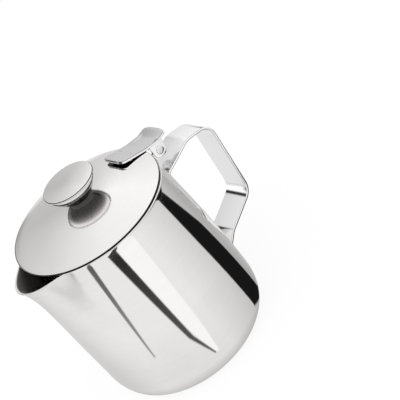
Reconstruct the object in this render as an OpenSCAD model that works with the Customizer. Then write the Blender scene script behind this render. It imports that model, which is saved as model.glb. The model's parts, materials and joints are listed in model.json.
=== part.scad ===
// Hot milk jug of polished stainless steel, with a hinged lid, a lid knob and a strip handle.
// Millimetres, +Z up, spout towards -X, handle towards +X, origin at the centre of the resting face.

/* [Body] */
// Height of the rolled rim above the resting face
body_height = 90.5; // [70:0.5:120]
// Outside radius of the wall at the rim
rim_radius = 37.6; // [36:0.1:40]
// Outside radius where the wall is widest
belly_radius = 42; // [40:0.5:48]
// Height at which the wall is widest
belly_height = 15; // [8:0.5:24]
// Radius of the flat resting face
base_radius = 30; // [20:0.5:36]
// Thickness of the sheet of the body
wall = 0.9; // [0.6:0.1:1.4]
// Radius of the rolled bead on the rim
rim_bead = 0.65; // [0.5:0.05:1]

/* [Spout] */
// How far the spout's tip stands out from the rim
spout_reach = 13.1; // [8:0.1:16]
// How far the tip dips below the rim
spout_dip = 0.9; // [0:0.1:3]
// Height at which the spout begins to leave the round wall
spout_foot = 12; // [5:0.5:40]
// Angle from the spout's middle to its edge, in degrees
spout_angle = 36; // [30:1:42]

/* [Lid] */
// How far the lid's rolled edge reaches past the rim
lid_overhang = 1.6; // [1.2:0.1:2.2]
// How far the lid's centre lies towards the spout
lid_offset = 1.7; // [0.8:0.1:1.9]
// Height of the middle of the lid's rolled edge above the rim
edge_lift = 1.05; // [0.9:0.05:1.5]
// Thickness of the sheet of the lid
lid_sheet = 0.8; // [0.5:0.1:1]
// Radius of the lid's rolled edge
lid_bead = 0.6; // [0.45:0.05:0.7]
// Rise of the lid's dome above its rolled edge
lid_rise = 6.4; // [5:0.1:8]
// Gap round the collar that centres the lid in the mouth
collar_gap = 1.7; // [1.5:0.1:3]
// Depth of the collar below the rim
collar_depth = 2.3; // [1.5:0.1:3]

/* [Knob] */
// Radius of the knob's cap
cap_radius = 13.3; // [10:0.1:16]
// Height of the cap's edge above the top of the lid
cap_lift = 9.75; // [8:0.25:12]
// Rise of the cap's middle above its edge
cap_crown = 1.4; // [0.8:0.1:3]
// Radius of the neck under the cap
neck_radius = 6.6; // [5.5:0.1:8]
// Height of the neck
neck_lift = 1; // [0.8:0.1:2]
// Radius of the rounded edge of the cap
knob_edge = 0.55; // [0.3:0.05:0.7]
// Radius of the shank of the screw
screw_radius = 2; // [1.5:0.1:2.5]
// Radius of the head of the screw
screw_head = 3.6; // [3:0.1:5]
// Radius of the washer under the lid
washer_radius = 5; // [4.5:0.1:7]
// Thickness of the washer
washer_sheet = 0.8; // [0.5:0.1:1.2]

/* [Hinge] */
// How far the hinge pin stands out from the rim
pin_out = 5.1; // [4.6:0.1:6]
// How far the hinge pin lies below the rim
pin_drop = 3.5; // [3:0.1:4.5]
// Radius of the hinge pin
pin_radius = 1.3; // [1:0.05:1.5]
// Radius of the riveted heads of the pin
pin_head = 2.15; // [1.9:0.05:2.4]
// Thickness of the riveted heads of the pin
head_depth = 0.7; // [0.5:0.05:1]
// Radius of the rounded ends of the strap's ears
ear_radius = 3.9; // [3.2:0.1:4]
// Width of the strap over its ears
strap_width = 15.6; // [14:0.2:18]
// How far each ear widens on both sides up to the strap
ear_flare = 0.2; // [0:0.1:0.4]
// Thickness of the strap
strap_sheet = 1.25; // [0.8:0.05:1.4]
// Gap under the front end of the strap's leaf, held open by its weld bosses
strap_lift = 1.2; // [0.5:0.1:1.5]
// Radius of the weld bosses under the strap's leaf
boss_radius = 2; // [1.5:0.1:3]
// Length of the strap's leaf from the pin to its front end
leaf_length = 19.8; // [18:0.1:22]
// Length of the thumb tab behind the pin
tab_length = 8.5; // [7.5:0.1:10]
// How far the strap drops from the lid's rolled edge to the thumb tab
tab_drop = 1.8; // [1:0.1:1.8]
// Rise of the thumb tab's end
tab_rise = 0.5; // [0.2:0.1:1.5]
// Length of the rounded corners at both ends of the strap
nose_length = 2.5; // [1:0.1:4]
// Width of the bracket's lugs round the pin
lug_rim = 1.2; // [0.8:0.1:1.3]
// Thickness of the hinge bracket
bracket_sheet = 1; // [0.8:0.05:1.2]
// Height of the hinge bracket's plate below the pin
bracket_depth = 10.5; // [9:0.1:12]

/* [Handle] */
// Width of the handle's strip
handle_width = 16; // [12:0.5:20]
// Thickness of the handle's strip
handle_sheet = 1.4; // [1:0.1:1.8]
// How far the grip stands out from the widest wall
grip_out = 30.4; // [26:0.1:36]
// How far the handle's upper bend lies below the rim
root_drop = 16.5; // [16:0.1:20]
// How far the handle's top corner lies below the rim
crest_drop = 10.9; // [10.5:0.1:14]
// Height at which the grip turns back to the body
grip_foot = 30.5; // [28:0.5:36]
// Height at which the lower arm meets the body
handle_foot = 22; // [20:0.5:26]
// Length of the legs that are welded to the body
leg_length = 9; // [6:0.5:12]
// Radius of the grip's two outer bends
grip_bend = 7; // [5:0.5:8]

/* [Fit] */
// Radial clearance of the pin in the strap's ears
pin_clearance = 0.05; // [0.02:0.01:0.1]
// Gap between the hinge's moving and fixed cheeks
cheek_gap = 0.4; // [0.3:0.05:0.6]
// Gap between the lid's parts that only lie on each other
seat_gap = 0.02; // [0.01:0.01:0.05]
// Overrun of the cuts
overrun = 1; // [0.5:0.1:2]

/* [Hidden] */
$fn = 72;

lid_radius = rim_radius + lid_overhang;
bead_centre = lid_radius - lid_bead;
bead_height = body_height + edge_lift;
bead_top = bead_height + lid_bead;
collar_radius = rim_radius - wall - collar_gap;
seat_height = bead_top + lid_rise;
cap_height = seat_height + cap_lift;
neck_height = seat_height + neck_lift;
strap_edge = bead_centre - lid_offset;
strap_level = bead_top + seat_gap;
strap_rear = strap_level - tab_drop;
pin_reach = rim_radius + pin_out;
pin_height = body_height - pin_drop;
strap_front = pin_reach - leaf_length;
tab_reach = pin_reach + tab_length;
tab_height = strap_rear + tab_rise;
bracket_foot = pin_height - bracket_depth;
handle_reach = belly_radius + grip_out;
handle_root = body_height - root_drop;
handle_crest = body_height - crest_drop;
cheek_inner = strap_width / 2 - strap_sheet;
lug_outer = cheek_inner - cheek_gap;
lug_radius = pin_radius + lug_rim;

// Shares of a size, from 0 to 1
bead_steps = 8;
round_steps = 7;
wall_steps = 12;
spout_columns = 24;
wall_columns = 48;
flare_share = 0.34;
flare_power = 8;
swell_share = 0.12;
lobe_power = 2.3;
bowl_share = 0.75;
bore_share = 0.45;
arc_steps = 8;
leaf_steps = 10;
nose_steps = 16;
nose_power = 0.77;
dome_steps = 24;

function unit(v) = v / norm(v);

// Outside radius of the round body at a height
function body_radius(z) =
    let (up = max(0, min(1, z / belly_height)), down = (body_height - z) / (body_height - belly_height))
    z < belly_height
        ? base_radius + (belly_radius - base_radius) * sqrt(1 - pow(1 - up, 2))
        : rim_radius + (belly_radius - rim_radius) * (1.5 * down - 0.5 * pow(down, 3));

// How far the spout stands out at a height, in its middle
function spout_swell(z) =
    let (rise = max(0, (z - spout_foot) / (body_height - spout_foot)))
    spout_reach * (flare_share * pow(rise, flare_power)
        + (1 - flare_share) * (1 + swell_share) * pow(rise, 2) / (rise + swell_share));

// Share of the swell at an angle from the spout's middle
function spout_lobe(angle) =
    abs(angle) < spout_angle ? pow(cos(90 * angle / spout_angle), lobe_power) : 0;

// Height of the top of the lid's sheet at a distance from the lid's centre
function lid_top(r) = bead_top + lid_rise * (1 - pow(min(1, r / bead_centre), 2));

// Share of the cap's spread at a share of its height
function bowl(s) = bowl_share * sin(90 * s) + (1 - bowl_share) * s;

// Height of the washer's top, under the sheet of the dome
washer_top = lid_top(washer_radius + lid_offset) - lid_sheet - seat_gap;

// Points of a path whose inner corners are rounded; each corner is [x, z, radius]
function corner_arc(a, b, c, r) =
    let (u = unit(a - b), w = unit(c - b), half = acos(u * w) / 2, back = r / tan(half),
         centre = b + unit(u + w) * r / sin(half), from = b + u * back - centre, to = b + w * back - centre,
         start = atan2(from.y, from.x), turn = atan2(from.x * to.y - from.y * to.x, from * to))
    [for (i = [0 : arc_steps])
        let (angle = start + turn * i / arc_steps) centre + r * [cos(angle), sin(angle)]];
function xz(p) = [p.x, p.y];
function round_path(p) =
    [xz(p[0]),
     for (i = [1 : len(p) - 2]) each corner_arc(xz(p[i - 1]), xz(p[i]), xz(p[i + 1]), p[i].z),
     xz(p[len(p) - 1])];

// Outline of a sheet of even thickness along a path, on its left side
function sheet_side(path, shift) =
    [for (i = [0 : len(path) - 1])
        let (along = unit(path[min(i + 1, len(path) - 1)] - path[max(i - 1, 0)]))
        path[i] + shift * [-along.y, along.x]];
function reversed(list) = [for (i = [len(list) - 1 : -1 : 0]) list[i]];
function sheet(path, thickness) = concat(path, reversed(sheet_side(path, thickness)));

// A sheet drawn in the XZ plane, as wide as given along Y
module strip(path, thickness, width) {
    translate([0, width / 2, 0])
        rotate([90, 0, 0])
            linear_extrude(width)
                polygon(sheet(path, thickness));
}

// A round bar or disc along Y, centred on Y = 0
module cross_bar(radius, length) {
    rotate([90, 0, 0])
        cylinder(r = radius, h = length, center = true);
}

// Space taken by the round body, for cutting what is welded to it
module body_space() {
    rotate_extrude()
        polygon([[0, 0],
                 for (i = [0 : round_steps]) let (a = 90 * i / round_steps)
                     [base_radius + (belly_radius - base_radius) * sin(a), belly_height * (1 - cos(a))],
                 for (i = [1 : wall_steps])
                     let (z = belly_height + (body_height - belly_height) * i / wall_steps) [body_radius(z), z],
                 [0, body_height]]);
}

// A plate that follows the round wall between two heights
module wall_plate(low, high, width, thickness) {
    middle = (low + high) / 2;
    half = asin(width / 2 / body_radius(middle));
    rotate([0, 0, -half])
        rotate_extrude(angle = 2 * half)
            polygon([for (z = [low, middle, high]) [body_radius(z), z],
                     for (z = [high, middle, low]) [body_radius(z) + thickness, z]]);
}

// Space below the top of the lid, for cutting what stands on it
module lid_space(top_gap) {
    translate([-lid_offset, 0, 0])
        rotate_extrude()
            polygon([[0, body_height],
                     for (i = [0 : dome_steps])
                         let (r = bead_centre * i / dome_steps) [r, lid_top(r) + top_gap],
                     [bead_centre, body_height]]);
}

// Deep-drawn body with its spout and rolled rim: one closed skin, outside and inside
module body_shell() {
    depth = belly_height - wall;
    crown = body_height - 2 * rim_bead;
    outer = concat(
        [for (i = [0 : round_steps]) let (a = 90 * i / round_steps)
            [base_radius + (belly_radius - base_radius) * sin(a), belly_height * (1 - cos(a))]],
        [for (i = [1 : wall_steps])
            let (z = belly_height + (crown - belly_height) * i / wall_steps) [body_radius(z), z]]);
    bead = [for (i = [0 : bead_steps]) let (a = -50 + 220 * i / bead_steps)
        [rim_radius - wall + rim_bead * (1 + cos(a)), body_height - rim_bead * (1 - sin(a))]];
    inner = concat(
        [for (i = [wall_steps : -1 : 1])
            let (z = belly_height + (crown - belly_height) * i / wall_steps) [body_radius(z) - wall, z]],
        [for (i = [round_steps : -1 : 0]) let (a = 90 * i / round_steps)
            [base_radius + (belly_radius - wall - base_radius) * sin(a), wall + depth * (1 - cos(a))]]);
    rows = concat(outer, bead, inner);
    angles = concat(
        [for (i = [0 : spout_columns - 1]) spout_angle * (2 * i / spout_columns - 1)],
        [for (i = [0 : wall_columns - 1]) spout_angle + (360 - 2 * spout_angle) * i / wall_columns]);
    columns = len(angles);
    points = [for (row = rows) for (angle = angles)
        let (lobe = spout_lobe(angle), swell = spout_swell(row.y), r = row.x + swell * lobe)
        [-r * cos(angle), -r * sin(angle), row.y - spout_dip * lobe * pow(swell / spout_reach, 3)]];
    skin = [for (j = [0 : len(rows) - 2]) for (i = [0 : columns - 1])
        let (n = (i + 1) % columns, a = j * columns, b = a + columns)
        each [[a + i, b + i, a + n], [a + n, b + i, b + n]]];
    base = [for (i = [0 : columns - 1]) i];
    floor_face = [for (i = [columns - 1 : -1 : 0]) (len(rows) - 1) * columns + i];
    color("silver")
        polyhedron(points, concat(skin, [base, floor_face]), convexity = 6);
}

// Strip handle: an upper arm, the grip and a lower arm, with a welded leg at each end
module handle() {
    start = body_radius(handle_root) + handle_sheet;
    finish = body_radius(handle_foot) + handle_sheet;
    upper = handle_crest - handle_sheet;
    grip = handle_reach - handle_sheet;
    path = round_path([
        [start - handle_sheet, handle_root - leg_length / 4, 0],
        [start - handle_sheet / 2, handle_root, 2 * handle_sheet],
        [grip - 2 * grip_bend, upper, grip_bend],
        [grip, upper - grip_bend / 2, grip_bend],
        [grip - grip_bend / 3, grip_foot + grip_bend / 4, grip_bend],
        [finish + grip_bend / 2, handle_foot + grip_bend / 3, grip_bend],
        [finish - handle_sheet / 2, handle_foot - leg_length / 4, 0]]);
    color("silver")
        difference() {
            union() {
                strip(path, handle_sheet, handle_width);
                wall_plate(handle_root - leg_length, handle_root, handle_width, handle_sheet);
                wall_plate(handle_foot - leg_length / 2, handle_foot, handle_width, handle_sheet);
            }
            body_space();
        }
}

// Bracket welded under the rim: a plate on the wall and two lugs that hold the pin
module hinge_bracket() {
    color("silver")
        difference() {
            union() {
                wall_plate(bracket_foot, pin_height, 2 * lug_outer, bracket_sheet);
                for (side = [-1, 1])
                    translate([0, side * (lug_outer - bracket_sheet / 2), 0])
                        rotate([90, 0, 0])
                            linear_extrude(bracket_sheet, center = true)
                                union() {
                                    translate([pin_reach, pin_height])
                                        circle(lug_radius);
                                    polygon([[body_radius(pin_height), bracket_foot + lug_radius],
                                             [body_radius(pin_height), pin_height],
                                             [pin_reach, pin_height + lug_radius],
                                             [pin_reach + lug_radius, pin_height]]);
                                }
            }
            body_space();
            translate([pin_reach, 0, pin_height])
                cross_bar(pin_radius + seat_gap, strap_width);
        }
}

// Pin through ears and lugs, riveted over at both ends
module hinge_pin() {
    face = strap_width / 2 + seat_gap;
    half = [[pin_radius, 0], [pin_radius, face], [pin_head, face], [pin_head, face + head_depth / 3],
            [pin_head * 0.85, face + head_depth * 0.8], [pin_head * 0.5, face + head_depth],
            [0, face + head_depth]];
    color("gainsboro")
        translate([pin_reach, 0, pin_height])
            rotate([90, 0, 0])
                rotate_extrude()
                    polygon(concat([for (p = reversed(half)) [p.x, -p.y]], half));
}

// Pressed lid: a dome with a rolled edge
module lid_shell() {
    top = [for (i = [0 : dome_steps]) let (r = bead_centre * i / dome_steps) [r, lid_top(r)]];
    under = [for (i = [0 : dome_steps])
        let (r = (bead_centre - lid_bead) * i / dome_steps) [r, lid_top(r) - lid_sheet]];
    edge = [for (i = [0 : bead_steps]) let (a = 75 - 225 * i / bead_steps)
        [bead_centre + lid_bead * cos(a), bead_height + lid_bead * sin(a)]];
    color("silver")
        difference() {
            translate([-lid_offset, 0, 0])
                rotate_extrude()
                    polygon(concat(top, edge, reversed(under)));
            translate([0, 0, seat_height - lid_sheet - overrun])
                cylinder(r = screw_radius + seat_gap, h = lid_sheet + 2 * overrun);
        }
}

// Collar under the lid that drops into the mouth
module lid_collar() {
    inner = collar_radius - lid_sheet;
    foot = body_height - collar_depth;
    color("silver")
        translate([-lid_offset, 0, 0])
            rotate_extrude()
                polygon([[inner, foot], [collar_radius, foot],
                         for (r = [collar_radius, inner]) [r, lid_top(r) - lid_sheet - seat_gap]]);
}

// Strap on the lid: the leaf with its weld bosses, two ears for the pin and the thumb tab
module lid_strap() {
    over = pin_reach - ear_radius;
    weld = (strap_front + strap_edge) / 2;
    boss_top = lid_top(weld + lid_offset) + (strap_lift + strap_sheet) / 2;
    leaf = [for (i = [0 : leaf_steps])
        let (x = strap_front + (strap_edge - strap_front) * i / leaf_steps)
        [x, lid_top(x + lid_offset) + seat_gap + strap_lift * (1 - i / leaf_steps)]];
    path = concat(leaf, round_path([
        [strap_edge + strap_sheet / 2, strap_level - tab_drop / 12, 0],
        [pin_reach + ear_radius / 2, strap_rear, 3 * ear_radius],
        [tab_reach, tab_height, 0]]));
    tip = strap_width / 2;
    corner = [for (i = [0 : nose_steps]) let (a = 90 * i / nose_steps)
        [nose_length * pow(cos(a), nose_power), tip * pow(sin(a), nose_power)]];
    front = [for (p = corner) [strap_front + nose_length - p.x, p.y]];
    back = [for (p = reversed(corner)) [tab_reach - nose_length + p.x, p.y]];
    side = concat(front, back);
    plan = concat(side, [for (p = reversed(side)) [p.x, -p.y]]);
    color("silver")
        difference() {
            union() {
                intersection() {
                    strip(path, strap_sheet, strap_width);
                    linear_extrude(2 * body_height)
                        polygon(plan);
                }
                for (side = [-1, 1])
                    translate([0, side * (tip - strap_sheet / 2), 0])
                        rotate([90, 0, 0])
                            linear_extrude(strap_sheet, center = true)
                                union() {
                                    translate([pin_reach, pin_height])
                                        circle(ear_radius);
                                    polygon([[over, pin_height],
                                             [over - ear_flare, strap_level],
                                             [pin_reach + ear_radius + ear_flare, strap_rear + strap_sheet / 2],
                                             [pin_reach + ear_radius, pin_height]]);
                                }
                difference() {
                    for (side = [-1, 1])
                        translate([weld, side * tip / 2, bead_height])
                            cylinder(r = boss_radius, h = boss_top - bead_height);
                    lid_space(seat_gap);
                }
            }
            translate([pin_reach, 0, pin_height])
                cross_bar(pin_radius + pin_clearance, strap_width + 2 * overrun);
        }
}

// Neck of the knob: a short ring that stands on the dome
module knob_neck() {
    color("silver")
        difference() {
            translate([0, 0, bead_height])
                cylinder(r = neck_radius, h = neck_height - bead_height);
            lid_space(seat_gap);
            translate([0, 0, body_height])
                cylinder(r = screw_radius + seat_gap, h = cap_height - body_height);
        }
}

// Cap of the knob: a bowl-shaped cone that opens upwards under a slightly crowned top
module knob_cap() {
    edge = cap_radius - knob_edge;
    low = neck_height + seat_gap;
    bore = low + cap_lift * bore_share;
    color("silver")
        rotate_extrude()
            union() {
                polygon([[0, bore], [screw_radius + seat_gap, bore], [screw_radius + seat_gap, low],
                         for (i = [0 : arc_steps]) let (s = i / arc_steps)
                             [neck_radius + (edge - neck_radius) * bowl(s), low + (cap_height - knob_edge - low) * s],
                         for (i = [0 : arc_steps]) let (s = 1 - i / arc_steps)
                             [edge * s, cap_height + knob_edge + (cap_crown - knob_edge) * (1 - s * s)]]);
                translate([edge, cap_height])
                    circle(knob_edge, $fn = 24);
            }
}

// Screw that holds knob and lid together, from below
module knob_screw() {
    head_top = washer_top - washer_sheet - seat_gap;
    shank_end = neck_height + cap_lift * bore_share - seat_gap;
    color("gray")
        rotate_extrude()
            polygon([[0, head_top - screw_head / 2], [screw_head * 0.7, head_top - screw_head / 2],
                     [screw_head, head_top - screw_head / 4], [screw_head, head_top],
                     [screw_radius, head_top], [screw_radius, shank_end], [0, shank_end]]);
}

// Washer between the screw's head and the lid
module knob_washer() {
    color("gray")
        translate([0, 0, washer_top - washer_sheet])
            difference() {
                cylinder(r = washer_radius, h = washer_sheet);
                translate([0, 0, -overrun])
                    cylinder(r = screw_radius + seat_gap, h = washer_sheet + 2 * overrun);
            }
}

body_shell();
handle();
hinge_bracket();
hinge_pin();
lid_shell();
lid_collar();
lid_strap();
knob_neck();
knob_cap();
knob_screw();
knob_washer();
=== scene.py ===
import json
import math

import bmesh
import bpy
from mathutils import Matrix, Vector


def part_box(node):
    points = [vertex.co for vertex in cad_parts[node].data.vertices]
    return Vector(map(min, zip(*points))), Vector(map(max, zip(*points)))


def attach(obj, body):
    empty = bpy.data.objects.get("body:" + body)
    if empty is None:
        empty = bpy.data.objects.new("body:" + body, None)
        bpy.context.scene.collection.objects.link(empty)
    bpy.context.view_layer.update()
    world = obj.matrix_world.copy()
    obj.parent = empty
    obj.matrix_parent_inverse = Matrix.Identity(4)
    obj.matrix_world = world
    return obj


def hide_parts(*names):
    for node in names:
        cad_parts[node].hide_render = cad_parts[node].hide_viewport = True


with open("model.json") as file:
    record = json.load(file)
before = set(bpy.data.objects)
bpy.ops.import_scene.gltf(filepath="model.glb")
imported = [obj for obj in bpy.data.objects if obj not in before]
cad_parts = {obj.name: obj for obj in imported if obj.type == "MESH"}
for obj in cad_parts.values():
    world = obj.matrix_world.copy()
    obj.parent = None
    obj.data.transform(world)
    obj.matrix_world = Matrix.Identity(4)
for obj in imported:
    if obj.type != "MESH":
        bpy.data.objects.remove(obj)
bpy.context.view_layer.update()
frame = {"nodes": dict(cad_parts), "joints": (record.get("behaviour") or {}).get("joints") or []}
scene = bpy.context.scene
scene.view_settings.view_transform = "Standard"
print("frame loaded:", ", ".join(sorted(frame["nodes"])))

tau = 2 * math.pi
tiny = 1e-6  # metres, for merging doubles


class Wire:  # one socket of a node tree, so that maths can be written as expressions
    def __init__(self, tree, socket=None):
        self.tree = tree
        self.socket = socket

    def node(self, kind, inputs=None, out=0, **settings):  # any node: settings first, then sockets
        made = self.tree.nodes.new(kind)
        for name, value in settings.items():
            setattr(made, name, value)
        for key, value in (inputs or {}).items():
            if isinstance(value, Wire):
                self.tree.links.new(value.socket, made.inputs[key])
            else:
                made.inputs[key].default_value = value
        return Wire(self.tree, made.outputs[out])

    def siblings(self):  # every output of this socket's node
        return [Wire(self.tree, socket) for socket in self.socket.node.outputs]

    def math(self, operation, *values):
        return self.node("ShaderNodeMath", dict(enumerate(values)), operation=operation)

    def split(self):
        return self.node("ShaderNodeSeparateXYZ", {0: self}).siblings()

    def join(self, x, y, z):
        return self.node("ShaderNodeCombineXYZ", {0: x, 1: y, 2: z})

    def ease(self, low, high, first=0.0, last=1.0):  # a soft step from low to high
        names = {"Value": self, "From Min": low, "From Max": high, "To Min": first, "To Max": last}
        return self.node("ShaderNodeMapRange", names, interpolation_type="SMOOTHSTEP")

    def cloud(self, vector, scale, detail=2.0):
        names = {"Vector": vector, "Scale": scale, "Detail": detail}
        return self.node("ShaderNodeTexNoise", names)

    def blend(self, share, first, second):  # colours
        names = {0: share, 6: first, 7: second}
        return self.node("ShaderNodeMix", names, out=2, data_type="RGBA")

    def __add__(self, other):
        return self.math("ADD", self, other)

    def __radd__(self, other):
        return self.math("ADD", other, self)

    def __sub__(self, other):
        return self.math("SUBTRACT", self, other)

    def __rsub__(self, other):
        return self.math("SUBTRACT", other, self)

    def __mul__(self, other):
        return self.math("MULTIPLY", self, other)

    def __rmul__(self, other):
        return self.math("MULTIPLY", other, self)

    def __truediv__(self, other):
        return self.math("DIVIDE", self, other)

    def __pow__(self, other):
        return self.math("POWER", self, other)


# Camera: the picture's view of the jug, which it shows tilted over
view = {
    "turn": -25.5, "rise": 32.63, "roll": -36.78,  # degrees
    "distance": 0.6, "aside": 0.05093, "above": 0.00322, "aim": 0.092,
    "lens": 118.79, "sensor": 36.0, "clip": (0.01, 10),
}


def placeCamera():
    turn = math.radians(view["turn"])
    rise = math.radians(view["rise"])
    roll = math.radians(view["roll"])
    flat = math.cos(rise)
    back = Vector((math.sin(turn) * flat, -math.cos(turn) * flat, math.sin(rise)))
    level = Vector((math.cos(turn), math.sin(turn), 0))
    upright = back.cross(level)
    right = level * math.cos(roll) + upright * math.sin(roll)
    up = upright * math.cos(roll) - level * math.sin(roll)
    camera = bpy.data.objects.new("camera", bpy.data.cameras.new("camera"))
    camera.data.sensor_width = view["sensor"]
    camera.data.lens = view["lens"]
    camera.data.clip_start, camera.data.clip_end = view["clip"]
    place = back * view["distance"] + right * view["aside"] + up * view["above"]
    place.z += view["aim"]
    facing = Matrix((right, up, back)).transposed().to_4x4()
    camera.matrix_world = Matrix.Translation(place) @ facing
    scene.collection.objects.link(camera)
    scene.camera = camera
    return back


towardsCamera = placeCamera()


# Steel: one recipe, the values that most finishes share, and a dictionary for each finish
shared = {"centre": 0.0, "wearLow": 0.0, "innerRough": 0.0}
finishes = {
    "bodySteel": {
        "colour": (0.83, 0.813, 0.808), "shade": (0.765, 0.749, 0.744), "rough": 0.035,
        "marks": "wall", "markRough": 0.03, "markDepth": 2e-7, "smudgeRough": 0.05,
        "waveDepth": 3e-6, "wearLow": 0.0045, "wearRough": 0.16, "innerRough": 0.22,
        "spout": 0.24, "spoutReach": (0.0305, 0.0355), "spoutRise": (0.058, 0.070),
    },
    "handleSteel": {
        # paler than the body's steel, though the same steel: painted light, on the handle and the
        # bracket
        "colour": (0.90, 0.90, 0.90), "shade": (0.86, 0.86, 0.86), "rough": 0.09,
        "marks": "strip", "markRough": 0.09, "markDepth": 6e-7, "smudgeRough": 0.07,
        "waveDepth": 2e-6,
    },
    "lidSteel": {
        "colour": (0.84, 0.823, 0.818), "shade": (0.79, 0.774, 0.769), "rough": 0.07,
        "marks": "disc", "centre": -0.0017, "markRough": 0.04, "markDepth": 4e-7,
        "smudgeRough": 0.05, "waveDepth": 2e-6,
        # the rolled edge painted near black: a painted dark reflection and the painted shadow of
        # the gap over the rim
        "under": (0.015, 0.015, 0.015), "turn": (0.88, 0.76), "within": (0.0376, 0.0382),
    },
    "strapSteel": {
        # darker than the lid's steel, though the same steel: painted shade
        "colour": (0.62, 0.61, 0.62), "shade": (0.57, 0.56, 0.57), "rough": 0.14,
        "marks": "strip", "markRough": 0.10, "markDepth": 5e-7, "smudgeRough": 0.06,
        "waveDepth": 2e-6,
        # the leaf's underside over the lid painted near black: painted shade
        "under": (0.02, 0.02, 0.02), "turn": (-0.3, -0.7), "within": (0.040, 0.036),
        # the cut edges painted near white: a painted highlight
        "sides": (0.98, 0.98, 0.98), "sidesTurn": (0.35, 0.15),
        # a dark line along the leaf's rounded edges: a painted dark reflection
        "line": (0.30, 0.45, 0.85, 0.70), "lineFrom": (-1, 0),
    },
    "weldSteel": {
        # near black: painted shade under the strap, not the welds' own colour
        "colour": (0.05, 0.05, 0.05), "shade": (0.03, 0.03, 0.03), "rough": 0.35,
        "marks": "strip", "markRough": 0.10, "markDepth": 5e-7, "smudgeRough": 0.06,
        "waveDepth": 2e-6,
    },
    "knobSteel": {
        "colour": (0.82, 0.801, 0.794), "shade": (0.75, 0.733, 0.727), "rough": 0.08,
        "marks": "disc", "markRough": 0.08, "markDepth": 6e-7, "smudgeRough": 0.04,
        "waveDepth": 1e-6,
        # the neck and the cap's lower part: painted shade, and rougher
        "dull": (0.07, 0.067, 0.062), "dullLow": 0.1005, "dullHigh": 0.1070, "dullRough": 0.10,
        # the cap's underside painted dark: painted shade
        "under": (0.06, 0.058, 0.055), "turn": (-0.40, -0.80), "within": (0.0128, 0.0120),
        # a dark ring on the cap's rounded rim: a painted dark reflection
        "line": (0.25, 0.40, 0.93, 0.80), "lineFrom": (0.0124, 0.0126),
    },
    "pinSteel": {
        "colour": (0.80, 0.80, 0.79), "shade": (0.70, 0.70, 0.69), "rough": 0.12,
        "marks": "strip", "centre": 0.0427, "markRough": 0.10, "markDepth": 1e-6,
        "smudgeRough": 0.05, "waveDepth": 1e-6,
    },
    "screwSteel": {
        "colour": (0.62, 0.61, 0.60), "shade": (0.50, 0.49, 0.48), "rough": 0.22,
        "marks": "disc", "markRough": 0.12, "markDepth": 1e-6, "smudgeRough": 0.05,
        "waveDepth": 1e-6,
    },
}
polish = {
    # sizes of the marks, per metre
    "round": 2.5, "fine": 5200.0, "coarse": 900.0, "lengthwise": 60.0,
    "smudge": 45.0, "wave": 55.0, "grime": 700.0,
    # shares in the relief and in the tone, and where a smudge begins and is full
    "fineShare": 0.6, "coarseShare": 0.4, "coarseTone": 0.5, "smudgeTone": 0.3,
    "smudgeEdge": (0.52, 0.72),
    # colour of the painted dark reflection along rounded edges
    "lineColour": (0.04, 0.04, 0.04, 1),
}


def newMaterial(name):
    material = bpy.data.materials.new(name)
    material.use_nodes = True
    material.node_tree.nodes.clear()
    return material, Wire(material.node_tree)


def showSurface(kit, shader):
    output = kit.tree.nodes.new("ShaderNodeOutputMaterial")
    kit.tree.links.new(shader.socket, output.inputs["Surface"])


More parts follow.
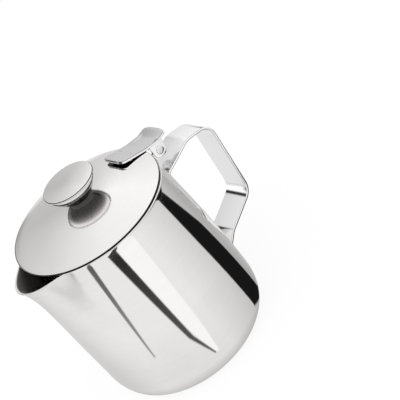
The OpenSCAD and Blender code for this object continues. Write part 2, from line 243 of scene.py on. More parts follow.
def steel(name):
    look = {**shared, **finishes[name]}
    material, kit = newMaterial(name)
    place = kit.node("ShaderNodeTexCoord", out="Object")
    x, y, z = place.split()
    x = x - look["centre"]
    reach = kit.math("SQRT", x * x + y * y) + tiny
    if look["marks"] == "strip":  # polished along the strip
        along = x * polish["lengthwise"]
        up = z * polish["lengthwise"]
        grain = kit.join(along, y * polish["fine"], up)
        bands = kit.join(along, y * polish["coarse"], up)
    else:  # turned on a lathe: rings round the axis, without a seam
        level = z if look["marks"] == "wall" else reach
        around = [x / reach * polish["round"], y / reach * polish["round"]]
        grain = kit.join(*around, level * polish["fine"])
        bands = kit.join(*around, level * polish["coarse"])
    fine = kit.cloud(grain, 1.0, 2.0)
    coarse = kit.cloud(bands, 1.0, 1.0)
    marks = fine * polish["fineShare"] + coarse * polish["coarseShare"]
    smudge = kit.cloud(place, polish["smudge"], 3.0).ease(*polish["smudgeEdge"])
    rough = look["rough"] + marks * look["markRough"] + smudge * look["smudgeRough"]
    if look["wearLow"]:  # scuffs where it stands
        grime = kit.cloud(place, polish["grime"], 2.0)
        rough = rough + z.ease(look["wearLow"], 0.0) * grime * look["wearRough"]
    if look["innerRough"]:  # the inside is left brushed
        inner = kit.node("ShaderNodeAttribute", out="Fac", attribute_name="inner")
        rough = rough + inner * look["innerRough"]
    if "spout" in look:  # rougher high on the spout, which blurs what it mirrors
        flank = (x * -1).ease(*look["spoutReach"]) * z.ease(*look["spoutRise"])
        rough = rough + flank * look["spout"]
    wave = kit.cloud(place, polish["wave"], 1.0)
    relief = {"Strength": 1.0, "Distance": look["markDepth"],
              "Height": marks + wave * (look["waveDepth"] / look["markDepth"])}
    bump = kit.node("ShaderNodeBump", relief)
    tone = coarse * polish["coarseTone"] + smudge * polish["smudgeTone"]
    colour = kit.blend(tone, (*look["colour"], 1), (*look["shade"], 1))
    if "dull" in look:  # painted shade below a height, where it is also rougher
        dull = z.ease(look["dullHigh"], look["dullLow"])
        colour = kit.blend(dull, colour, (*look["dull"], 1))
        rough = rough + dull * look["dullRough"]
    if "under" in look:  # painted shade and dark reflection, by how far a place faces down and how far out it is
        upward = kit.node("ShaderNodeTexCoord", out="Normal").split()[2]
        if "sides" in look:  # a painted highlight: pale where it faces sideways
            flat = kit.math("ABSOLUTE", upward).ease(*look["sidesTurn"])
            colour = kit.blend(flat, colour, (*look["sides"], 1))
        if "line" in look:  # a painted dark reflection: a dark line along a rounded edge
            line = reach.ease(*look["lineFrom"]) * upward.ease(*look["line"][:2])
            line = line * upward.ease(*look["line"][2:])
            colour = kit.blend(line, colour, polish["lineColour"])
        # painted shade and dark reflection: near black on the lid's rolled edge, under the strap's
        # leaf and under the cap
        lower = upward.ease(*look["turn"]) * reach.ease(*look["within"])
        colour = kit.blend(lower, colour, (*look["under"], 1))
    names = {"Base Color": colour, "Roughness": rough, "Metallic": 1.0, "Normal": bump}
    showSurface(kit, kit.node("ShaderNodeBsdfPrincipled", names))
    return material


steels = {name: steel(name) for name in finishes}
print("finishes:", ", ".join(steels))


# Outlines, drawn in the XZ plane
def arcPoints(centre, radius, first, last, steps):  # degrees
    made = []
    for step in range(steps + 1):
        angle = math.radians(first + (last - first) * step / steps)
        made.append((centre[0] + radius * math.cos(angle), centre[1] + radius * math.sin(angle)))
    return made


def roundPath(corners, steps=14):  # corners are (x, z, radius)
    points = [Vector(corner[:2]) for corner in corners]
    made = [points[0]]
    for before, corner, after, spec in zip(points, points[1:], points[2:], corners[1:]):
        radius = spec[2]
        if not radius:
            made.append(corner)
            continue
        come = (before - corner).normalized()
        leave = (after - corner).normalized()
        half = math.acos(max(-1, min(1, come.dot(leave)))) / 2
        centre = corner + (come + leave).normalized() * radius / math.sin(half)
        first = corner + come * radius / math.tan(half) - centre
        last = corner + leave * radius / math.tan(half) - centre
        start = math.atan2(first.y, first.x)
        turn = math.atan2(first.x * last.y - first.y * last.x, first.dot(last))
        for step in range(steps + 1):
            angle = start + turn * step / steps
            made.append(centre + radius * Vector((math.cos(angle), math.sin(angle))))
    made.append(points[-1])
    return made


def shifted(path, distance):  # the line beside a path, on its left
    made = []
    for index, point in enumerate(path):
        along = (path[min(index + 1, len(path) - 1)] - path[max(index - 1, 0)]).normalized()
        made.append(point + distance * Vector((-along.y, along.x)))
    return made


def spaced(path, step, tip=0.0):  # even spacing, closer towards rounded ends of the length tip
    lengths = [0.0]
    for before, after in zip(path, path[1:]):
        lengths.append(lengths[-1] + (after - before).length)
    whole = lengths[-1]
    tips = [tip * (1 - math.cos(math.radians(angle))) for angle in range(8, 90, 6)]
    ends = tips if tip else [0.0]
    low, high = ends[-1] if tip else 0.0, whole - (ends[-1] if tip else 0.0)
    count = max(2, round((high - low) / step))
    middle = [low + (high - low) * index / count for index in range(1, count)]
    places = [0.0] * (not tip) + (ends if tip else []) + middle
    places += [whole - place for place in reversed(ends)]
    made = []
    for place in places:
        index = max(i for i in range(len(lengths) - 1) if lengths[i] <= place + tiny)
        share = (place - lengths[index]) / max(tiny, lengths[index + 1] - lengths[index])
        made.append(path[index].lerp(path[index + 1], min(1, share)))
    return made


def levelAt(stops, place):  # straight lines between stops
    for (low, first), (high, last) in zip(stops, stops[1:]):
        if place <= high:
            share = max(0, (place - low) / (high - low))
            return first + (last - first) * share
    return stops[-1][1]


def lineMesh(name, points, **values):  # a chain of edges, with a number at each point for each name
    mesh = bpy.data.meshes.new(name)
    count = len(points)
    mesh.from_pydata([(x, 0, z) for x, z in points], [(i, i + 1) for i in range(count - 1)], [])
    for label, numbers in values.items():
        mesh.attributes.new(label, "FLOAT", "POINT").data.foreach_set("value", numbers)
    return mesh


# Geometry node trees
def newTree(name, inputs):
    tree = bpy.data.node_groups.new(name, "GeometryNodeTree")
    tree.interface.new_socket(name="Geometry", in_out="OUTPUT", socket_type="NodeSocketGeometry")
    for label, kind in {"Geometry": "Geometry", **inputs}.items():
        tree.interface.new_socket(name=label, in_out="INPUT", socket_type="NodeSocket" + kind)
    group = Wire(tree).node("NodeGroupInput")
    return tree, {wire.socket.name: wire for wire in group.siblings() if wire.socket.name}


def endTree(kit, geometry, material):
    smooth = kit.node("GeometryNodeSetShadeSmooth", {"Geometry": geometry})
    painted = kit.node("GeometryNodeSetMaterial", {"Geometry": smooth, "Material": material})
    real = kit.node("GeometryNodeRealizeInstances", {"Geometry": painted})
    output = kit.tree.nodes.new("NodeGroupOutput")
    kit.tree.links.new(real.socket, output.inputs[0])


def spinTree():  # turns an outline round the axis, and lets a spout swell out towards -X
    tree, given = newTree("spinOutline", {
        "Columns": "Int", "Centre": "Float", "Inner Row": "Int", "Spout Reach": "Float",
        "Spout Dip": "Float", "Spout Foot": "Float", "Spout Top": "Float", "Spout Angle": "Float",
        "Flare Share": "Float", "Swell Share": "Float", "Lobe Power": "Float",
        "Material": "Material"})
    kit = Wire(tree)
    outline = given["Geometry"]
    rows = kit.node("GeometryNodeAttributeDomainSize", {"Geometry": outline}, out="Point Count")
    size = {"Size X": 1.0, "Size Y": 1.0, "Vertices X": given["Columns"] + 1, "Vertices Y": rows}
    grid = kit.node("GeometryNodeMeshGrid", size)
    index = kit.node("GeometryNodeInputIndex")
    column = kit.math("FLOOR", (index + 0.5) / rows)
    row = kit.node("FunctionNodeFloatToInt", {0: index - column * rows}, rounding_mode="ROUND")
    sample = {"Geometry": outline, "Value": kit.node("GeometryNodeInputPosition"), "Index": row}
    point = kit.node("GeometryNodeSampleIndex", sample, data_type="FLOAT_VECTOR", domain="POINT")
    reach, _, height = point.split()
    angle = column / given["Columns"] * tau
    turn = kit.math("MINIMUM", angle, tau - angle) / given["Spout Angle"]
    lobe = kit.math("COSINE", kit.math("MINIMUM", turn, 1.0) * (tau / 4))
    lobe = kit.math("MAXIMUM", lobe, 0.0) ** given["Lobe Power"]
    rise = (height - given["Spout Foot"]) / (given["Spout Top"] - given["Spout Foot"])
    rise = kit.math("MAXIMUM", rise, 0.0)
    late = given["Flare Share"] * rise ** 8.0
    early = (1 - given["Flare Share"]) * (1 + given["Swell Share"]) * rise * rise
    swell = late + early / (rise + given["Swell Share"])
    out = reach + given["Spout Reach"] * swell * lobe
    x = given["Centre"] - out * kit.math("COSINE", angle)
    y = 0 - out * kit.math("SINE", angle)
    z = height - given["Spout Dip"] * lobe * swell ** 3.0
    moved = kit.node("GeometryNodeSetPosition", {"Geometry": grid, "Position": kit.join(x, y, z)})
    inner = kit.math("GREATER_THAN", row + 0.5, given["Inner Row"])
    stored = kit.node("GeometryNodeStoreNamedAttribute",
                      {"Geometry": moved, "Name": "inner", "Value": inner},
                      data_type="FLOAT", domain="POINT")
    merged = kit.node("GeometryNodeMergeByDistance", {"Geometry": stored, "Distance": tiny})
    endTree(kit, merged, given["Material"])
    return tree


def sweepTree():  # a strip along a path; numbers kept on the path narrow it and bend it to the wall
    tree, given = newTree("sweepStrip", {
        "Width": "Float", "Thickness": "Float", "Edge": "Float", "Edge Steps": "Int",
        "Material": "Material"})
    kit = Wire(tree)
    curve = kit.node("GeometryNodeMeshToCurve", {"Mesh": given["Geometry"]})
    size = {"Width": given["Width"], "Height": given["Thickness"]}
    section = kit.node("GeometryNodeCurvePrimitiveQuadrilateral", size)
    rounding = {"Curve": section, "Count": given["Edge Steps"], "Radius": given["Edge"]}
    section = kit.node("GeometryNodeFilletCurve", rounding, mode="POLY")
    strip = kit.node("GeometryNodeCurveToMesh",
                     {"Curve": curve, "Profile Curve": section, "Fill Caps": True})
    x, y, z = kit.node("GeometryNodeInputPosition").split()
    kept = {}
    for label in ("span", "hug", "wall"):
        kept[label] = kit.node("GeometryNodeInputNamedAttribute", {"Name": label},
                               out="Attribute", data_type="FLOAT")
    y = y * kept["span"]
    flat = kit.math("SQRT", kit.math("MAXIMUM", kept["wall"] * kept["wall"] - y * y, 0.0))
    x = x - kept["hug"] * (kept["wall"] - flat)
    bent = kit.node("GeometryNodeSetPosition", {"Geometry": strip, "Position": kit.join(x, y, z)})
    endTree(kit, bent, given["Material"])
    return tree


spinOutline = spinTree()
sweepStrip = sweepTree()


def grow(name, mesh, tree, values):  # runs a tree on a chain of edges and keeps the plain mesh
    piece = bpy.data.objects.new(name, mesh)
    scene.collection.objects.link(piece)
    modifier = piece.modifiers.new("shape", "NODES")
    modifier.node_group = tree
    for item in tree.interface.items_tree:
        if item.in_out == "INPUT" and item.name in values:
            modifier[item.identifier] = values[item.name]
    shown = piece.evaluated_get(bpy.context.evaluated_depsgraph_get())
    made = bpy.data.meshes.new_from_object(shown)
    piece.modifiers.clear()
    piece.data = made
    made.name = name
    return piece


def tidy(piece, sharp=38):  # closes seams, turns faces outwards and keeps the real edges sharp
    mesh = bmesh.new()
    mesh.from_mesh(piece.data)
    bmesh.ops.remove_doubles(mesh, verts=mesh.verts, dist=tiny)
    bmesh.ops.dissolve_degenerate(mesh, edges=mesh.edges, dist=tiny)
    bmesh.ops.recalc_face_normals(mesh, faces=mesh.faces)
    for face in mesh.faces:
        face.smooth = True
    for edge in mesh.edges:
        edge.smooth = edge.calc_face_angle(0) < math.radians(sharp)
    mesh.to_mesh(piece.data)
    mesh.free()
    return piece


def spun(name, points, material, columns=192, **more):
    values = {"Columns": columns, "Centre": 0.0, "Inner Row": 100000, "Spout Reach": 0.0,
              "Spout Dip": 0.0, "Spout Foot": 0.0, "Spout Top": 1.0, "Spout Angle": 1.0,
              "Flare Share": 0.0, "Swell Share": 1.0, "Lobe Power": 1.0,
              "Material": steels[material], **more}
    return grow(name, lineMesh(name, points), spinOutline, values)


def swept(name, path, width, thickness, edge, material, span=None, hug=None, wall=None):
    count = len(path)
    kept = {"span": span or [1.0] * count, "hug": hug or [0.0] * count,
            "wall": wall or [1.0] * count}
    values = {"Width": width, "Thickness": thickness, "Edge": edge, "Edge Steps": 5,
              "Material": steels[material]}
    return grow(name, lineMesh(name, path, **kept), sweepStrip, values)


def joined(name, pieces):  # one object from several
    target = bmesh.new()
    for piece in pieces:
        target.from_mesh(piece.data)
    mesh = bpy.data.meshes.new(name)
    target.to_mesh(mesh)
    target.free()
    mesh.materials.append(pieces[0].data.materials[0])
    for piece in pieces:
        bpy.data.objects.remove(piece)
    whole = bpy.data.objects.new(name, mesh)
    scene.collection.objects.link(whole)
    return whole


def plate(name, outline, low, high, material, edge=0.0):  # an outline in XZ, thick along Y
    shape = bmesh.new()
    near = [shape.verts.new((x, low, z)) for x, z in outline]
    far = [shape.verts.new((x, high, z)) for x, z in outline]
    shape.faces.new(near)
    shape.faces.new(far)
    for index in range(len(outline)):
        after = (index + 1) % len(outline)
        shape.faces.new((near[index], near[after], far[after], far[index]))
    bmesh.ops.recalc_face_normals(shape, faces=shape.faces)
    if edge:
        rims = [e for e in shape.edges if abs(e.verts[0].co.y - e.verts[1].co.y) < tiny]
        bmesh.ops.bevel(shape, geom=rims, offset=edge, segments=3, profile=0.5, affect="EDGES")
    mesh = bpy.data.meshes.new(name)
    shape.to_mesh(mesh)
    shape.free()
    mesh.materials.append(steels[material])
    piece = bpy.data.objects.new(name, mesh)
    scene.collection.objects.link(piece)
    return piece


def carved(piece, cutter):  # cuts one closed piece out of another
    modifier = piece.modifiers.new("cut", "BOOLEAN")
    modifier.operation = "DIFFERENCE"
    modifier.solver = "EXACT"
    modifier.object = cutter
    shown = piece.evaluated_get(bpy.context.evaluated_depsgraph_get())
    made = bpy.data.meshes.new_from_object(shown)
    piece.modifiers.clear()
    piece.data = made
    bpy.data.objects.remove(cutter)
    return piece


def placed(piece, body, slot, *nodes):
    tidy(piece)
    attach(piece, body)
    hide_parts(*nodes)
    print(piece.name, "-", len(piece.data.polygons), "faces")
    return piece


# Body: deep-drawn shell with its spout and rolled rim
jug = {
    "height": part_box("body_shell")[1].z, "rim": 0.0376, "belly": 0.0430,
    "bellyHeight": 0.0138, "base": 0.0350, "wall": 0.0009, "bead": 0.00065,
    "spoutReach": 0.0131, "spoutDip": 0.0009, "spoutFoot": 0.012, "spoutAngle": 36.0,
    "flareShare": 0.34, "swellShare": 0.12, "lobePower": 2.3,
    "footSteps": 26, "wallSteps": 60, "beadSteps": 18, "columns": 320,
}


def bodyRadius(z):
    if z < jug["bellyHeight"]:
        low = 1 - max(z, 0) / jug["bellyHeight"]
        return jug["base"] + (jug["belly"] - jug["base"]) * math.sqrt(1 - low * low)
    down = (jug["height"] - z) / (jug["height"] - jug["bellyHeight"])
    return jug["rim"] + (jug["belly"] - jug["rim"]) * (1.5 * down - 0.5 * down ** 3)


def makeBody():
    wall, bead, top = jug["wall"], jug["bead"], jug["height"] - 2 * jug["bead"]
    quarter = [math.radians(90 * i / jug["footSteps"]) for i in range(jug["footSteps"] + 1)]
    heights = [jug["bellyHeight"] + (top - jug["bellyHeight"]) * i / jug["wallSteps"]
               for i in range(1, jug["wallSteps"] + 1)]
    wide = jug["belly"] - jug["base"]
    outer = [(0.0, 0.0)]
    outer += [(jug["base"] + wide * math.sin(a), jug["bellyHeight"] * (1 - math.cos(a)))
              for a in quarter]
    outer += [(bodyRadius(z), z) for z in heights]
    centre = (jug["rim"] - wall + bead, jug["height"] - bead)
    roll = arcPoints(centre, bead, -50, 170, jug["beadSteps"])
    inner = [(bodyRadius(z) - wall, z) for z in reversed(heights)]
    depth = jug["bellyHeight"] - wall
    inner += [(jug["base"] + (wide - wall) * math.sin(a), wall + depth * (1 - math.cos(a)))
              for a in reversed(quarter)]
    inner.append((0.0, wall))
    piece = spun("body_shell_polished", outer + roll + inner, "bodySteel", jug["columns"], **{
        "Inner Row": len(outer) + len(roll), "Spout Reach": jug["spoutReach"],
        "Spout Dip": jug["spoutDip"], "Spout Foot": jug["spoutFoot"], "Spout Top": jug["height"],
        "Spout Angle": math.radians(jug["spoutAngle"]), "Flare Share": jug["flareShare"],
        "Swell Share": jug["swellShare"], "Lobe Power": jug["lobePower"]})
    return placed(piece, "jug", "body_steel", "body_shell")


# Handle: a strip with a leg at each end that lies on the wall
grip = {
    "width": 0.016, "sheet": 0.0014, "edge": 0.0005, "reach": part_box("handle")[1].x,
    "root": 0.074, "crest": 0.0796, "turn": 0.0305, "foot": 0.022, "leg": 0.009, "bend": 0.007,
    "step": 0.0006, "fade": 0.0035,
}


def makeHandle():
    sheet, bend, leg = grip["sheet"], grip["bend"], grip["leg"]
    upper, out = grip["crest"] - sheet, grip["reach"] - sheet
    start, finish = bodyRadius(grip["root"]), bodyRadius(grip["foot"])
    path = roundPath([
        (bodyRadius(grip["root"] - leg), grip["root"] - leg, 0),
        (bodyRadius(grip["root"] - leg / 2), grip["root"] - leg / 2, 0),
        (start + sheet / 4, grip["root"], 2 * sheet),
        (out - 2 * bend, upper, bend),
        (out, upper - bend / 2, bend),
        (out - bend / 3, grip["turn"] + bend / 4, bend),
        (finish + sheet + bend / 2, grip["foot"] + bend / 3, bend),
        (finish + sheet / 4, grip["foot"] - leg / 4, sheet),
        (bodyRadius(grip["foot"] - leg / 2), grip["foot"] - leg / 2, 0)])
    path = spaced(shifted(path, sheet / 2), grip["step"])
    wall = [bodyRadius(z) for x, z in path]
    away = [max(0, x - radius - sheet) for (x, z), radius in zip(path, wall)]
    hug = [max(0.0, 1 - gap / grip["fade"]) for gap in away]
    piece = swept("handle_strip", path, grip["width"], sheet, grip["edge"], "handleSteel",
                  hug=hug, wall=wall)
    return placed(piece, "jug", "handle_steel", "handle")


# Hinge: bracket on the wall, pin, and the strap on the lid
hinge = {
    "pinReach": frame["joints"][0]["pos_m"][0], "pinHeight": frame["joints"][0]["pos_m"][2],
    "pinRadius": 0.0013, "pinHead": 0.00215, "headDepth": 0.0007, "ear": 0.0039, "flare": 0.0002,
    "strapWidth": 0.0156, "strapSheet": 0.00125, "cheekGap": 0.0004, "seatGap": 0.00002,
    "front": 0.0229, "lift": 0.0012, "nose": 0.0025, "nosePower": 0.77,
    "tabReach": 0.0512, "tabDrop": 0.0018, "tabRise": 0.0005, "bracketFoot": 0.0765,
    "bracketSheet": 0.001, "lug": 0.0025, "boss": 0.002, "step": 0.0005, "edge": 0.00028,
    "fold": 0.0009, "liftPower": 1.7, "plateEdge": 0.0003, "lugEdge": 0.00018,
    "earEdge": 0.0003, "earStep": 0.0003, "earTip": (60, 68, 75, 81, 86), "earEnd": 0.86,
}
lid = {
    "radius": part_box("lid_shell")[1].y, "offset": 0.0017, "edgeHeight": 0.09155, "bead": 0.0006,
    "rise": 0.0064, "sheet": 0.0008, "collar": 0.035, "collarFoot": 0.0882,
    "steps": 60, "beadSteps": 18, "columns": 256,
}
lidEdge = lid["radius"] - lid["bead"]
beadTop = lid["edgeHeight"] + lid["bead"]
seatHeight = beadTop + lid["rise"]
strapEdge = lidEdge - lid["offset"]
strapLevel = beadTop + hinge["seatGap"]


def lidTop(r):
    return beadTop + lid["rise"] * (1 - min(1, r / lidEdge) ** 2)


def drapeOnLid(piece, ceiling):  # lowers what stands on the dome onto it
    for vertex in piece.data.vertices:
        if vertex.co.z < ceiling:
            reach = math.hypot(vertex.co.x + lid["offset"], vertex.co.y)
            vertex.co.z = lidTop(reach) + hinge["seatGap"]
    return piece


def makeBracket():
    sheet, lug = hinge["bracketSheet"], hinge["lug"]
    half = hinge["strapWidth"] / 2 - hinge["strapSheet"] - hinge["cheekGap"]
    low, high = hinge["bracketFoot"], hinge["pinHeight"]
    path = [Vector((bodyRadius(z) + sheet / 2, z))
            for z in [low + (high - low) * i / 12 for i in range(13)]]
    wall = [bodyRadius(z) for x, z in path]
    parts = [swept("plate", path, 2 * half, sheet, hinge["plateEdge"], "handleSteel",
                   hug=[1.0] * len(path), wall=wall)]
    pin = (hinge["pinReach"], hinge["pinHeight"])
    inside = bodyRadius(pin[1]) + sheet / 4
    outline = [(inside, low + lug), (pin[0] + lug, pin[1])]
    outline += arcPoints(pin, lug, 0, 90, 16)[1:]
    outline.append((inside, pin[1]))
    for side in (-1, 1):
        edges = sorted((side * half, side * (half - sheet)))
        parts.append(plate("lug", outline, *edges, "handleSteel", hinge["lugEdge"]))
    return placed(joined("hinge_bracket_plate", parts), "jug", "handle_steel", "hinge_bracket")


def acrossY(piece, x, y, z):  # lays a piece spun about Z along the Y axis
    piece.data.transform(Matrix.Translation((x, y, z)) @ Matrix.Rotation(-tau / 4, 4, "X"))
    return piece


def makePin():
    face = hinge["strapWidth"] / 2 + hinge["seatGap"]
    head, depth = hinge["pinHead"], hinge["headDepth"]
    half = [(hinge["pinRadius"], 0.0), (hinge["pinRadius"], face), (head * 0.93, face)]
    half += [(head, face + depth * 0.12)]
    half += [(head * math.cos(a), face + depth * (0.12 + 0.88 * math.sin(a)))
             for a in (math.radians(90 * i / 14) for i in range(1, 14))]
    half.append((0.0, face + depth))
    points = [(r, -z) for r, z in reversed(half)] + half[1:]
    piece = spun("hinge_pin_riveted", points, "pinSteel", 96)
    acrossY(piece, hinge["pinReach"], 0, hinge["pinHeight"])
    return placed(piece, "jug", "pin_steel", "hinge_pin")


def strapSpan(x):  # share of the strap's half-width at a place along X
    nose, power = hinge["nose"], 2 / hinge["nosePower"]
    past = max(hinge["front"] + nose - x, x - hinge["tabReach"] + nose)
    return max(0.02, 1 - max(0, min(1, past / nose)) ** power) ** (1 / power)


def leafUnder(x):  # underside of the strap's leaf over the lid
    share = (x - hinge["front"]) / (strapEdge - hinge["front"])
    lift = hinge["lift"] * (1 - share) ** hinge["liftPower"]
    return lidTop(x + lid["offset"]) + hinge["seatGap"] + lift


def heightAt(path, x):
    return levelAt([(point.x, point.y) for point in path], x)


def makeStrap():
    ear, sheet, width = hinge["ear"], hinge["strapSheet"], hinge["strapWidth"]
    rear = strapLevel - hinge["tabDrop"]
    places = [hinge["front"] + (strapEdge - hinge["front"]) * i / 20 for i in range(21)]
    path = [Vector((x, leafUnder(x))) for x in places] + roundPath([
        (strapEdge + sheet / 2, strapLevel - hinge["tabDrop"] / 12, 0),
        (hinge["pinReach"] + ear / 2, rear, 3 * ear),
        (hinge["tabReach"], rear + hinge["tabRise"], 0)], 20)
    path = spaced(shifted(path, sheet / 2), hinge["step"], hinge["nose"])
    leaf = swept("leaf", path, width, sheet, hinge["edge"], "strapSteel",
                 span=[strapSpan(x) for x, z in path])
    parts = [leaf]
    top = heightAt(path, hinge["pinReach"])
    for side in (-1, 1):  # the ears, folded down from the leaf's edges
        wide = 2 * (ear + hinge["flare"])
        outer = width / 2 - sheet / 2
        fold = roundPath([
            (outer - sheet * 1.5, top, 0), (outer, top, hinge["fold"]),
            (outer, hinge["pinHeight"] - ear, 0)], 10)
        lowest = hinge["pinHeight"] - ear * hinge["earEnd"]
        fold = [point for point in spaced(fold, hinge["earStep"])[:-1] if point.y >= lowest]
        fold += [Vector((outer, hinge["pinHeight"] - ear * math.sin(math.radians(angle))))
                 for angle in hinge["earTip"]]
        span = []
        for x, z in fold:
            if z < hinge["pinHeight"]:
                drop = min(1, (hinge["pinHeight"] - z) / ear)
                span.append(2 * ear * math.sqrt(max(0.0, 1 - drop * drop)) / wide)
            else:
                up = min(1, (z - hinge["pinHeight"]) / (top - hinge["pinHeight"]))
                span.append((2 * ear + (wide - 2 * ear) * up) / wide)
        piece = swept("ear", fold, wide, sheet, hinge["earEdge"], "strapSteel", span=span)
        turned = Matrix((
            (0, 1, 0, hinge["pinReach"]), (side, 0, 0, 0), (0, 0, 1, 0), (0, 0, 0, 1)))
        piece.data.transform(turned)
        for vertex in piece.data.vertices:  # the ear's upper end follows the leaf
            share = max(0, (vertex.co.z - hinge["pinHeight"]) / (top - hinge["pinHeight"]))
            vertex.co.z += min(1, share) * (heightAt(path, vertex.co.x) - top)
        parts.append(piece)
    weld = (hinge["front"] + strapEdge) / 2
    low, crest = beadTop, lidTop(weld + lid["offset"]) + (hinge["lift"] + sheet) / 2
    for side in (-1, 1):
        outline = [(0.0, low), (hinge["boss"], low), (hinge["boss"], crest), (0.0, crest)]
        # bosses under the leaf, near black as painted shade
        boss = spun("boss", outline, "weldSteel", 48, Centre=weld)
        boss.data.transform(Matrix.Translation((0, side * width / 4, 0)))
        parts.append(drapeOnLid(boss, low + tiny))
    return placed(joined("lid_strap_leaf", parts), "lid", "lid_steel", "lid_strap")


# Lid: a dome with a rolled edge, and the collar under it
def makeLid():
    places = [lidEdge * i / lid["steps"] for i in range(lid["steps"])]
    top = [(r, lidTop(r)) for r in places]
    edge = arcPoints((lidEdge, lid["edgeHeight"]), lid["bead"], 72, -150, lid["beadSteps"])
    inside = lidEdge - lid["bead"]
    under = [(r * inside / lidEdge, lidTop(r * inside / lidEdge) - lid["sheet"])
             for r in reversed(places)]
    piece = spun("lid_shell_polished", top + edge + under, "lidSteel", lid["columns"],
                 Centre=-lid["offset"])
    return placed(piece, "lid", "lid_steel", "lid_shell")


def makeCollar():
    outer, inner = lid["collar"], lid["collar"] - lid["sheet"]
    foot, bend = lid["collarFoot"], lid["sheet"] / 2
    gap = lid["sheet"] + hinge["seatGap"]
    outline = [(inner, lidTop(inner) - gap), (inner, foot + bend)]
    outline += arcPoints((inner + bend, foot + bend), bend, 180, 360, 10)[1:]
    outline += [(outer, lidTop(outer) - gap), (inner, lidTop(inner) - gap)]
    piece = spun("lid_collar_ring", outline, "lidSteel", lid["columns"], Centre=-lid["offset"])
    return placed(piece, "lid", "lid_steel", "lid_collar")


# Knob: neck, cap, screw and washer
knob = {
    "cap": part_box("knob_cap")[1].x, "lift": 0.00975, "crown": 0.0014, "neck": 0.0066,
    "neckLift": 0.001, "edge": 0.00055, "screw": 0.002, "screwHead": 0.0036, "washer": 0.005,
    "washerSheet": 0.0008, "bowl": 0.75, "bore": 0.45, "steps": 28, "columns": 160,
    # the screw's cross slot, in shares of its head and of the head's depth
    "headRound": 0.8, "slotLong": 0.62, "slotWide": 0.11, "slotFoot": 0.2, "slotDeep": 0.25,
    "crossLong": 0.5,
}
capHeight = seatHeight + knob["lift"]
neckHeight = seatHeight + knob["neckLift"]
washerTop = lidTop(knob["washer"] + lid["offset"]) - lid["sheet"] - hinge["seatGap"]


def makeNeck():
    low, bore = beadTop, knob["screw"] + hinge["seatGap"]
    outline = [(bore, neckHeight), (bore, low), (knob["neck"], low), (knob["neck"], neckHeight),
               (bore, neckHeight)]
    piece = spun("knob_neck_ring", outline, "knobSteel", knob["columns"])
    return placed(drapeOnLid(piece, low + tiny), "lid", "knob_steel", "knob_neck")


def makeCap():
    edge, low = knob["cap"] - knob["edge"], neckHeight + hinge["seatGap"]
    bore = knob["screw"] + hinge["seatGap"]
    under = capHeight - knob["edge"]
    deep = low + knob["lift"] * knob["bore"]
    outline = [(0.0, deep), (bore, deep), (bore, low)]
    for step in range(knob["steps"] + 1):  # a bowl that opens upwards
        share = step / knob["steps"]
        spread = knob["bowl"] * math.sin(tau / 4 * share) + (1 - knob["bowl"]) * share
        outline.append((knob["neck"] + (edge - knob["neck"]) * spread, low + (under - low) * share))
    outline += arcPoints((edge, capHeight), knob["edge"], -90, 90, 14)[1:]
    outline += [(edge * s, capHeight + knob["edge"] + (knob["crown"] - knob["edge"]) * (1 - s * s))
                for s in (1 - i / knob["steps"] for i in range(1, knob["steps"] + 1))]
    piece = spun("knob_cap_crowned", outline, "knobSteel", knob["columns"])
    return placed(piece, "lid", "knob_steel", "knob_cap")


def makeScrew():
    headTop = washerTop - knob["washerSheet"] - hinge["seatGap"]
    end = neckHeight + knob["lift"] * knob["bore"] - hinge["seatGap"]
    head, depth = knob["screwHead"], knob["screwHead"] / 2
    outline = [(0.0, headTop - depth)]
    outline += [(head * math.sin(a), headTop - depth * math.cos(a) ** knob["headRound"])
                for a in (math.radians(86 * i / 14) for i in range(1, 15))]
    outline += [(head, headTop), (knob["screw"], headTop), (knob["screw"], end), (0.0, end)]
    piece = spun("knob_screw_head", outline, "screwSteel", 64)
    low, deep = headTop - 2 * depth, headTop - depth * knob["slotDeep"]
    far, wide, foot = (head * knob[key] for key in ("slotLong", "slotWide", "slotFoot"))
    across = head * knob["crossLong"]
    outline = [(-far, low), (far, low), (foot, deep), (-foot, deep)]
    slot = plate("slot", outline, -wide, wide, "screwSteel")
    outline = [(-wide, low), (wide, low), (wide, deep), (-wide, deep)]
    cross = plate("cross", outline, -across, across, "screwSteel")
    piece = carved(carved(piece, slot), cross)
    return placed(piece, "lid", "screw_steel", "knob_screw")


def makeWasher():
    low = washerTop - knob["washerSheet"]
    bore, r, t = knob["screw"] + hinge["seatGap"], knob["washer"], knob["washerSheet"]
    outline = [(bore, low), (r - t / 4, low), (r, low + t / 4), (r, low + t), (bore, low + t),
               (bore, low)]
    piece = spun("knob_washer_ring", outline, "screwSteel", 64)
    return placed(piece, "lid", "screw_steel", "knob_washer")


makeBody()
makeHandle()
makeBracket()
makePin()
makeLid()
makeCollar()
makeStrap()
makeNeck()
makeCap()
makeScrew()
makeWasher()


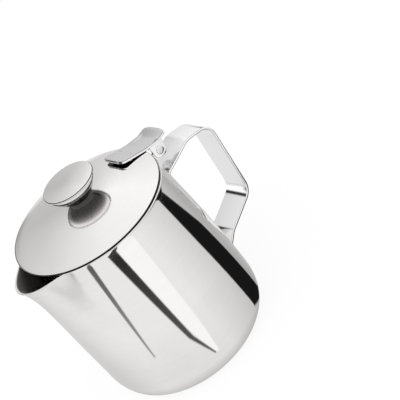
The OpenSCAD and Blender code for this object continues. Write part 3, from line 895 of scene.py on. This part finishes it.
# Stage: a white floor, a ring of light and dark cards that only shows as a reflection,
# surroundings that only reflections show in full, and a soft lamp
studio = {
    "floor": 3.0, "floorColour": (0.9, 0.9, 0.9, 1), "white": 1.0, "shadowShare": 0.12,
    "floorGlow": 0.86,
    "ringHeight": 0.0001, "ringSlope": 0.15, "ringLow": 0.0012, "ringHigh": 0.0895, "ringSteps": 70,
    "ringPower": 1.5, "turnStep": 0.4,
    # brightness of the ring by the angle from the camera at which the wall shows it
    "glow": [(-90, 0.7), (-60, 0.8), (-35, 1.0), (15, 1.0), (45, 0.75), (65, 0.5), (90, 0.7)],
    # and its share of that by the height at which the wall shows it
    "fall": [(0.0, 0.5), (0.010, 0.9), (0.045, 1.0)],
    # cards on the ring: (height on the wall, first angle, last angle, brightness) upwards
    "cards": [
        [(0.014, 4, 7, 1.15), (0.035, 0, 9, 1.15), (0.0895, -4, 11, 1.15)],
        [(0.014, 4, 5, 0.1), (0.030, -3, 0, 0.1), (0.0895, -11, -4, 0.02)],
        [(0.030, -28, -27, 0.4), (0.0895, -27, -23, 0.1)],
        [(0.0006, 74, 89, 0.01), (0.010, 47, 65, 0.01), (0.060, 44, 60, 0.01),
         (0.0895, 43, 51, 0.01)],
    ],
    "softEdge": 0.6,
    # the upper surroundings, by the angle from the camera that the lid's dome faces
    "sky": [(-180, 0.7), (-110, 0.6), (-10, 1.05), (60, 1.15), (180, 0.7)],
    "skyMiddle": 0.82, "skySpread": 0.1, "skyBright": 1.5,
    # beyond the dome's steepest lean a dark band, and bright again towards the camera
    "skyEdge": (0.40, 0.50), "skyFar": (0.60, 0.69), "darkGlow": 0.02, "farGlow": 1.15,
    "lampSize": 1.2, "lampPower": 6.0, "lampPlace": (-0.5, -0.35, 1.3),
}


def emission(kit, strength):
    return kit.node("ShaderNodeEmission", {"Color": (1, 1, 1, 1), "Strength": strength})


def makeFloor():
    material, kit = newMaterial("paleFloor")
    light = {wire.socket.name: wire for wire in kit.node("ShaderNodeLightPath").siblings()}
    diffuse = kit.node("ShaderNodeBsdfDiffuse", {"Color": studio["floorColour"]})
    white = emission(kit, studio["white"])
    seen = kit.node("ShaderNodeMixShader", {0: studio["shadowShare"], 1: white, 2: diffuse})
    mirrored = kit.math("MAXIMUM", light["Is Glossy Ray"], light["Is Transmission Ray"])
    plain = kit.node("ShaderNodeMixShader", {0: light["Is Camera Ray"], 1: diffuse, 2: seen})
    glow = emission(kit, studio["floorGlow"])
    showSurface(kit, kit.node("ShaderNodeMixShader", {0: mirrored, 1: plain, 2: glow}))
    mesh = bpy.data.meshes.new("floor")
    half = studio["floor"]
    mesh.from_pydata([(-half, -half, 0), (half, -half, 0), (half, half, 0), (-half, half, 0)], [],
                     [(0, 1, 2, 3)])
    mesh.materials.append(material)
    floor = bpy.data.objects.new("floor", mesh)
    scene.collection.objects.link(floor)


def ringGlow(angle, height):
    glow = levelAt(studio["glow"], angle) * levelAt(studio["fall"], height)
    for rows in studio["cards"]:
        if not rows[0][0] <= height <= rows[-1][0]:
            continue
        first, last, level = (levelAt([(row[0], row[i]) for row in rows], height)
                              for i in (1, 2, 3))
        inside = min(angle - first, last - angle) / studio["softEdge"] + 0.5
        glow += (level - glow) * max(0, min(1, inside))
    return glow


def mirrorSpot(angle, height):  # where the floor lies that the wall shows the camera at a place
    turn = math.atan2(scene.camera.location.y, scene.camera.location.x) + math.radians(angle)
    slope = (bodyRadius(height + tiny) - bodyRadius(height - tiny)) / (2 * tiny)
    normal = Vector((math.cos(turn), math.sin(turn), -slope)).normalized()
    reach = bodyRadius(height)
    spot = Vector((reach * math.cos(turn), reach * math.sin(turn), height))
    sight = (scene.camera.location - spot).normalized()
    facing = normal.dot(sight)
    ray = 2 * facing * normal - sight
    drop = (height - studio["ringHeight"]) / max(studio["ringSlope"], -ray.z)
    return spot + ray * drop, facing > 0


def makeRing():  # lies on the floor, and only shows as a reflection
    low, high = studio["ringLow"], studio["ringHigh"]
    steps, turns = studio["ringSteps"], round(180 / studio["turnStep"])
    heights = [low + (high - low) * (step / steps) ** studio["ringPower"]
               for step in range(steps + 1)]
    points, glows, faces, seen = [], [], [], []
    for turn in range(turns + 1):
        angle = studio["turnStep"] * turn - 90
        for height in heights:
            place, shown = mirrorSpot(angle, height)
            points.append((place.x, place.y, studio["ringHeight"]))
            glows.append(ringGlow(angle, height))
            seen.append(shown)
    for turn in range(turns):
        for step in range(steps):
            corner = turn * (steps + 1) + step
            face = (corner, corner + steps + 1, corner + steps + 2, corner + 1)
            if all(seen[index] for index in face):
                faces.append(face)
    mesh = bpy.data.meshes.new("reflectorRing")
    mesh.from_pydata(points, [], faces)
    mesh.attributes.new("glow", "FLOAT", "POINT").data.foreach_set("value", glows)
    material, kit = newMaterial("reflectorGlow")
    glow = kit.node("ShaderNodeAttribute", out="Fac", attribute_name="glow")
    showSurface(kit, emission(kit, glow))
    mesh.materials.append(material)
    ring = bpy.data.objects.new("reflector_ring", mesh)
    scene.collection.objects.link(ring)
    ring.visible_camera = False
    ring.visible_diffuse = False
    ring.visible_shadow = False
    ring.visible_transmission = False


def makeWorld():  # the dome of the lid shows it by the side that a place of the lid faces
    world = bpy.data.worlds.new("whiteStudio")
    scene.world = world
    world.use_nodes = True
    world.node_tree.nodes.clear()
    kit = Wire(world.node_tree)
    light = {wire.socket.name: wire for wire in kit.node("ShaderNodeLightPath").siblings()}
    x, y, z = kit.node("ShaderNodeTexCoord", out="Generated").split()
    near = x * towardsCamera.x + y * towardsCamera.y + z * towardsCamera.z
    facing = math.atan2(towardsCamera.y, towardsCamera.x)
    ahead = (x + towardsCamera.x) * math.cos(facing) + (y + towardsCamera.y) * math.sin(facing)
    aside = (y + towardsCamera.y) * math.cos(facing) - (x + towardsCamera.x) * math.sin(facing)
    share = kit.math("ARCTAN2", aside, ahead) / tau + 0.5
    ramp = kit.node("ShaderNodeValToRGB", {0: share})
    stops = ramp.socket.node.color_ramp.elements
    for index, (angle, glow) in enumerate(studio["sky"]):
        place = angle / 360 + 0.5
        stop = stops[index] if index < 2 else stops.new(place)
        stop.position = place
        part = glow / studio["skyBright"]
        stop.color = (part, part, part, 1)
    level = kit.node("ShaderNodeRGBToBW", {0: ramp}) * studio["skyBright"]
    lean = kit.math("SQRT", ahead * ahead + aside * aside) / kit.math("SQRT", 2 * near + 2)
    middle = studio["skyMiddle"]
    level = middle + (level - middle) * lean.ease(0.0, studio["skySpread"])
    dark = lean.ease(*studio["skyEdge"])
    level = level * (1 - dark) + dark * studio["darkGlow"]
    far = lean.ease(*studio["skyFar"])
    level = level * (1 - far) + far * studio["farGlow"]
    mirrored = kit.math("MAXIMUM", light["Is Glossy Ray"], light["Is Transmission Ray"])
    strength = mirrored * level + (1 - mirrored) * studio["white"]
    background = kit.node("ShaderNodeBackground", {"Color": (1, 1, 1, 1), "Strength": strength})
    output = kit.tree.nodes.new("ShaderNodeOutputWorld")
    kit.tree.links.new(background.socket, output.inputs["Surface"])


def makeLamp():
    lamp = bpy.data.objects.new("soft_lamp", bpy.data.lights.new("soft_lamp", "AREA"))
    lamp.data.size = studio["lampSize"]
    lamp.data.energy = studio["lampPower"]
    lamp.location = studio["lampPlace"]
    lamp.rotation_euler = (-lamp.location).to_track_quat("-Z", "Y").to_euler()
    lamp.visible_glossy = False
    scene.collection.objects.link(lamp)


makeFloor()
makeRing()
makeWorld()
makeLamp()
print("stage ready")
